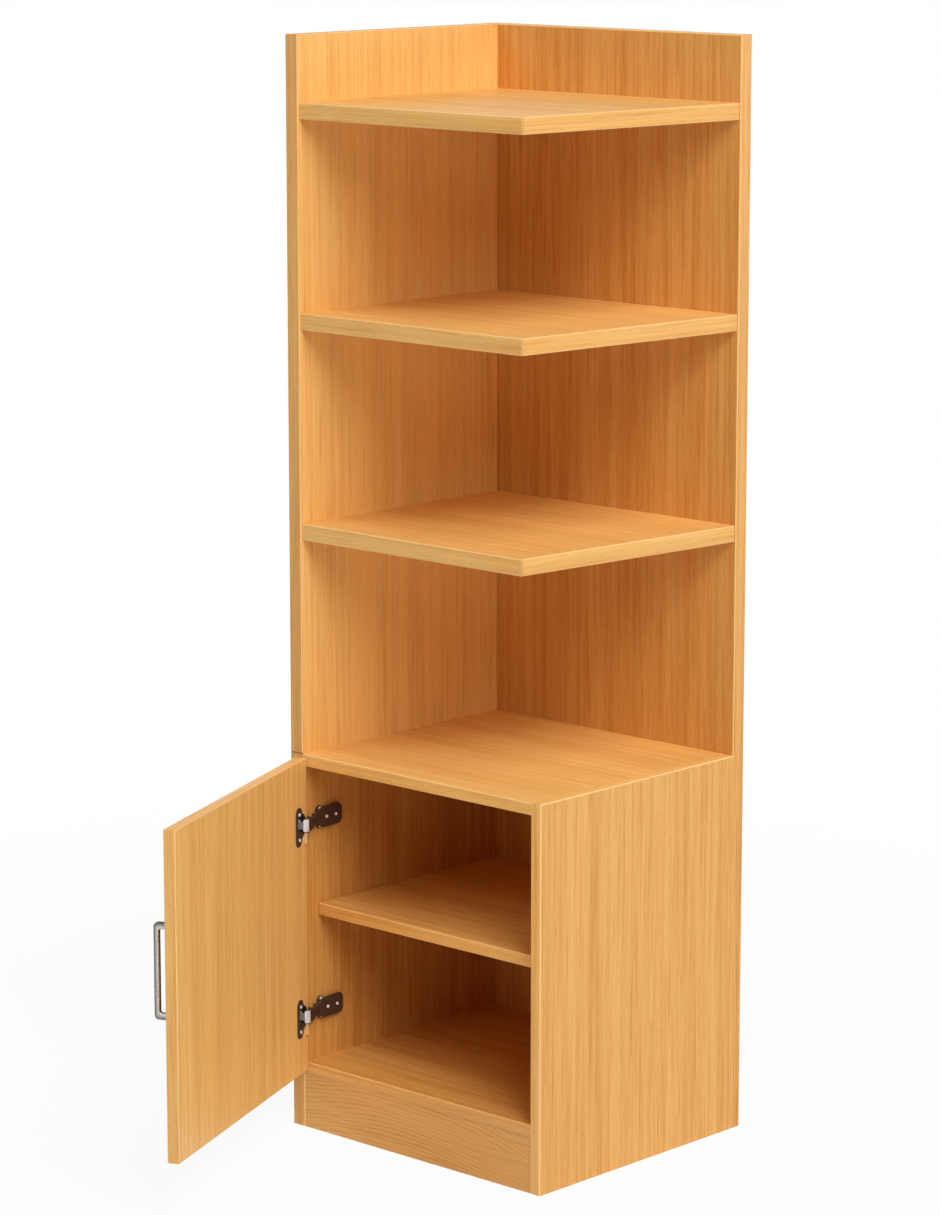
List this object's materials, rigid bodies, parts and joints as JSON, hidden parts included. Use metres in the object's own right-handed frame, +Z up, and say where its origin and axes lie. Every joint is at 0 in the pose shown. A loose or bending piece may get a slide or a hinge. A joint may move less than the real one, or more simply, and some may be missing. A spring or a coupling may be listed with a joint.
{
  "type": "corner shelf unit",
  "caption": "Free-standing corner shelf unit: two tall wood-grain walls carry open shelves above a low cabinet with a hinged door, bow handle and inner shelf.",
  "frame": {"origin": "outer back left corner of the unit on the floor, where it meets the corner of a room", "axes": "+Z up, the front with the door faces -Y, the left wall is on -X, the back panel on +Y"},
  "size_m": [0.49, 0.8788, 1.6],
  "materials": {
    "upright_board": "honey alder laminate with fine upright grain, satin",
    "level_board": "honey alder laminate with grain along the width, satin",
    "wood_edging": "thin matching edge band with softened arrises, satin",
    "dowel_wood": "plain beech, matt",
    "handle_metal": "satin nickel",
    "hinge_bronze": "dark bronze, semi-matt",
    "link_metal": "bright nickel plate",
    "screw_metal": "zinc plated steel",
    "cam_zinc": "die-cast zinc, matt grey",
    "support_metal": "nickel plated steel",
    "cap": "wood-toned plastic cap, matt"
  },
  "bodies": {
    "carcass": {"back_panel": "upright_board", "back_panel_edging": "wood_edging", "back_panel_screws": "screw_metal", "cabinet_bottom": "level_board", "cabinet_bottom_edging": "wood_edging", "cabinet_left_side": "upright_board", "cabinet_left_side_edging": "wood_edging", "cabinet_right_side": "upright_board", "cabinet_right_side_edging": "wood_edging", "cabinet_shelf": "level_board", "cabinet_shelf_edging": "wood_edging", "cabinet_top": "level_board", "cabinet_top_edging": "wood_edging", "cam_bolts": "screw_metal", "cam_locks": "cam_zinc", "hinge_arm_screws": "screw_metal", "left_wall_screws": "screw_metal", "lower_hinge_arm": "hinge_bronze", "lower_hinge_link": "link_metal", "lower_mounting_plate": "hinge_bronze", "lower_shelf": "level_board", "lower_shelf_edging": "wood_edging", "middle_shelf": "level_board", "middle_shelf_edging": "wood_edging", "mounting_plate_screws": "screw_metal", "plinth": "level_board", "plinth_dowels": "dowel_wood", "right_side_dowels": "dowel_wood", "shelf_supports": "support_metal", "top_shelf": "level_board", "top_shelf_edging": "wood_edging", "upper_hinge_arm": "hinge_bronze", "upper_hinge_link": "link_metal", "upper_left_panel": "upright_board", "upper_left_panel_edging": "wood_edging", "upper_mounting_plate": "hinge_bronze", "wall_seam_dowels": "dowel_wood"},
    "door_leaf": {"door": "upright_board", "door_edging": "wood_edging", "door_handle": "handle_metal", "handle_screws": "screw_metal", "handle_screw_caps": "cap", "upper_hinge_cup": "hinge_bronze", "lower_hinge_cup": "hinge_bronze", "upper_hinge_pin": "link_metal", "lower_hinge_pin": "link_metal", "hinge_cup_screws": "screw_metal"}
  },
  "joints": [
    {"name": "door_swing", "type": "hinge", "parent": "carcass", "child": "door_leaf", "pos_m": [0.0285, -0.4525, 0.319], "axis": [0, 0, -1], "range_deg": [-67, 33]}
  ]
}
